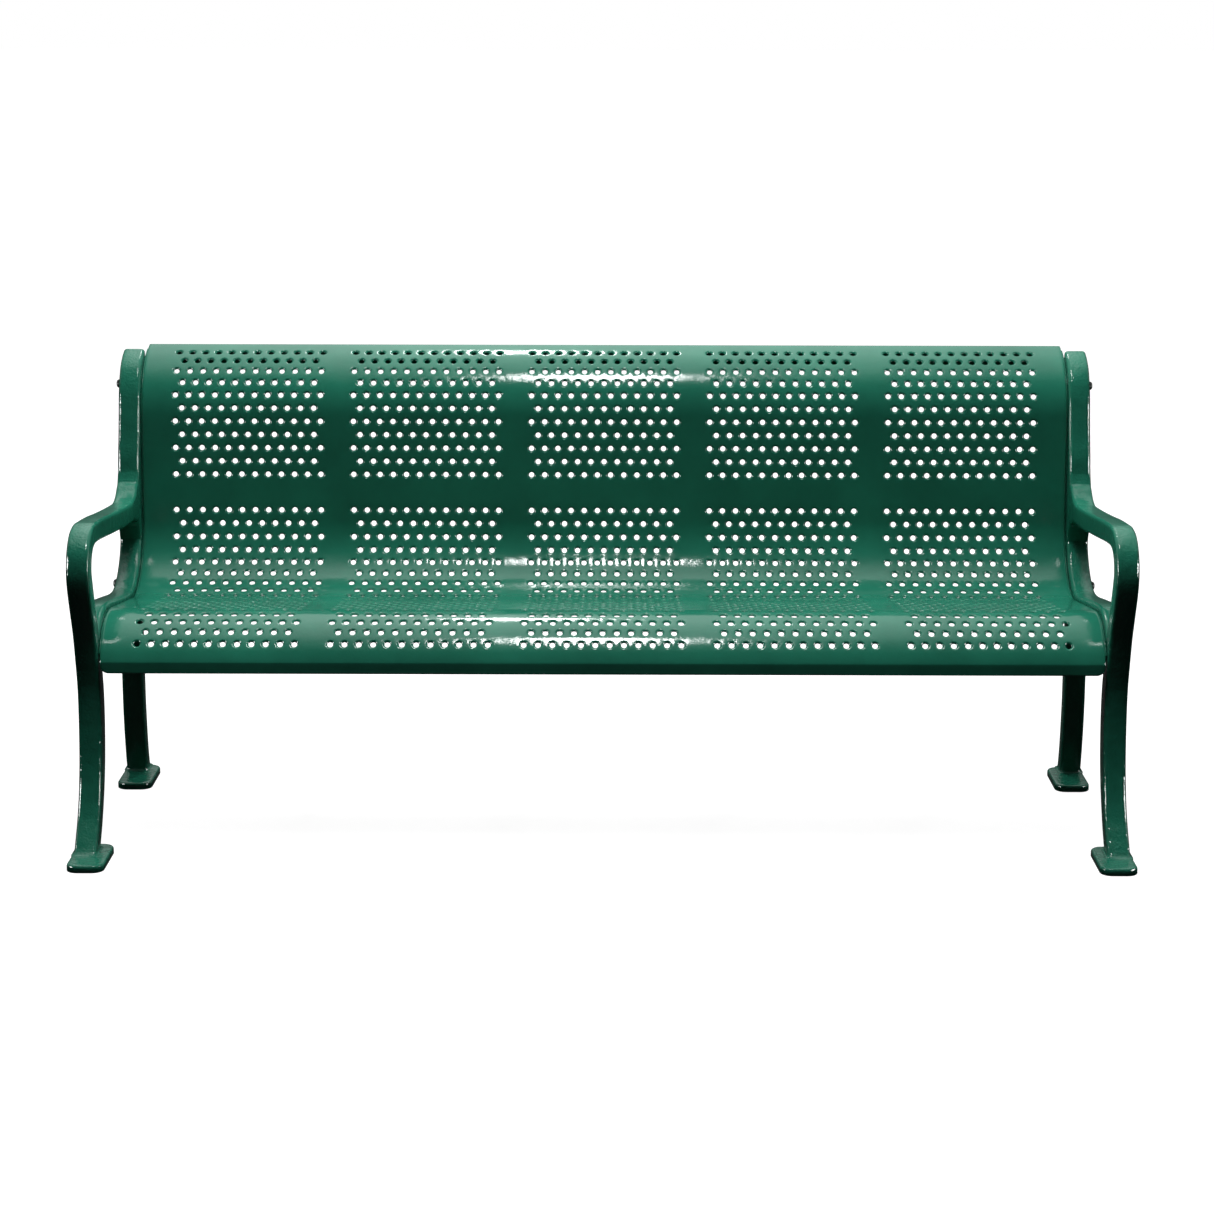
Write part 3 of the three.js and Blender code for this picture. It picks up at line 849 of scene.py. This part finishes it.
# Brightness of the surroundings against the angle from the horizon behind the bench, over the
# bench, to the horizon in front of it (degrees).
SURROUNDINGS = [
    (-20, 0.03), (5, 0.10), (20, 0.60), (30, 1.20), (46, 1.70), (62, 2.30), (80, 2.00),
    (96, 1.50), (104, 1.00), (111, 0.55), (119, 0.25), (128, 0.04), (180, 0.01),
]
BRIGHTEST = 2.3
LOWEST_ANGLE, ANGLE_SPAN = -90, 360
# The light is widest a little to the left of the bench's middle, and falls off to both sides.
WIDEST_X, WIDEST_LEVEL, FALL_OFF, LEAST_LEVEL = -0.04, 1.05, -2.2, 0.3


def maths(tree, operation, *values):
    """A maths node on sockets and numbers."""
    node = tree.nodes.new("ShaderNodeMath")
    node.operation = operation
    for socket, value in zip(node.inputs, values):
        if isinstance(value, (int, float)):
            socket.default_value = value
        else:
            tree.links.new(value, socket)
    return node.outputs["Value"]


def add_world():
    """A wide soft light over and behind the bench, dark in front, and plain white to the camera."""
    world = bpy.data.worlds.new("world")
    bpy.context.scene.world = world
    world.use_nodes = True
    tree = world.node_tree
    background = tree.nodes["Background"]
    direction = tree.nodes.new("ShaderNodeTexCoord").outputs["Generated"]
    parts = tree.nodes.new("ShaderNodeSeparateXYZ")
    tree.links.new(direction, parts.inputs["Vector"])
    angle = maths(tree, "ARCTAN2", parts.outputs["Z"], parts.outputs["Y"])
    share = maths(tree, "MULTIPLY_ADD", angle, 1 / radians(ANGLE_SPAN), -LOWEST_ANGLE / ANGLE_SPAN)
    around = ramp(tree, share, [
        ((degrees - LOWEST_ANGLE) / ANGLE_SPAN, grey(level / BRIGHTEST)) for degrees, level in SURROUNDINGS
    ])
    aside = maths(tree, "ABSOLUTE", maths(tree, "ADD", parts.outputs["X"], -WIDEST_X))
    falling = maths(tree, "MULTIPLY_ADD", aside, FALL_OFF, WIDEST_LEVEL)
    sky = maths(tree, "MULTIPLY", maths(tree, "MAXIMUM", falling, LEAST_LEVEL), around)
    mix = tree.nodes.new("ShaderNodeMix")
    mix.data_type = "FLOAT"
    tree.links.new(tree.nodes.new("ShaderNodeLightPath").outputs["Is Camera Ray"], mix.inputs["Factor"])
    tree.links.new(sky, mix.inputs["A"])
    mix.inputs["B"].default_value = 1 / BRIGHTEST
    tree.links.new(mix.outputs["Result"], background.inputs["Color"])
    background.inputs["Strength"].default_value = BRIGHTEST


# ------------------------------------------------------------------ the bench

BARS = {  # stations, width, whether it stands on a foot
    "back_seat_member": (BACK_STATIONS + SEAT_STATIONS, FRAME_WIDTH, False),
    "arm_front_leg": (ARM_STATIONS + ARM_BEND + FRONT_LEG_STATIONS, JOINED_WIDTH, True),
    "rear_leg": (REAR_LEG_STATIONS, JOINED_WIDTH, True),
}
FEET = {"front_foot": FRONT_FOOT_Y, "rear_foot": REAR_FOOT_Y}
BOLT_PLACES = {  # distance along the contour
    "top": BACK_END + 71,
    "crease": CREASE_END - 130,
    "seat": LIP_END * 0.65,
}


def build_end_frame(name, side, coat, plate_coat):
    """The bars, feet and end plate of one side."""
    for bar, (stations, width, on_foot) in BARS.items():
        node = f"{name}_{bar}"
        build_bar(f"{node}_bar", stations, side, coat, node, width, on_foot)
    for foot, y in FEET.items():
        node = f"{name}_{foot}"
        build_foot(f"{node}_plate", y, side, coat, node)
    end_x = side * (PLATE_INNER + PLATE_THICKNESS / 2)
    build_plate(f"{name}_end_plate_bar", end_x, plate_coat, f"{name}_end_plate")


def build_fasteners(name, side, steel):
    """Three bolts of one side, each with its washer and its nut."""
    profiles = {"bolt": bolt_profile(), "washer": washer_profile(), "nut": nut_profile()}
    for place, distance in BOLT_PLACES.items():
        at = contour.place(distance, BOLT_DEPTH)
        for kind, profile in profiles.items():
            node = f"{name}_{place}_{kind}"
            build_fastener(f"{node}_piece", profile, at, side, steel, node)


def build_bench():
    """The panel, the ribs under it, and on each side the end frame and its fasteners."""
    panel_coat = coating("panel_coating", gloss=(0.09, 0.14), peel_scale=120, peel_height=0.00025)
    frame_coat = coating("frame_coating", gloss=(0.08, 0.13), peel_scale=120, peel_height=0.0016)
    plate_coat = coating("plate_coating", gloss=(0.25, 0.4), peel_scale=180, peel_height=0.0003)
    steel = dark_steel()
    build_panel(panel_coat)
    for i, place in enumerate(RIB_PLACES, start=1):
        build_plate(f"rib_{i}", place * GROUP_STEP * PITCH, plate_coat, f"contour_rib_{i}")
    for name, side in (("left", -1), ("right", 1)):
        build_end_frame(name, side, frame_coat, plate_coat)
        build_fasteners(name, side, steel)


add_camera()
build_bench()
add_floor()
add_lights()
add_world()
bpy.context.scene.view_settings.view_transform = "Standard"
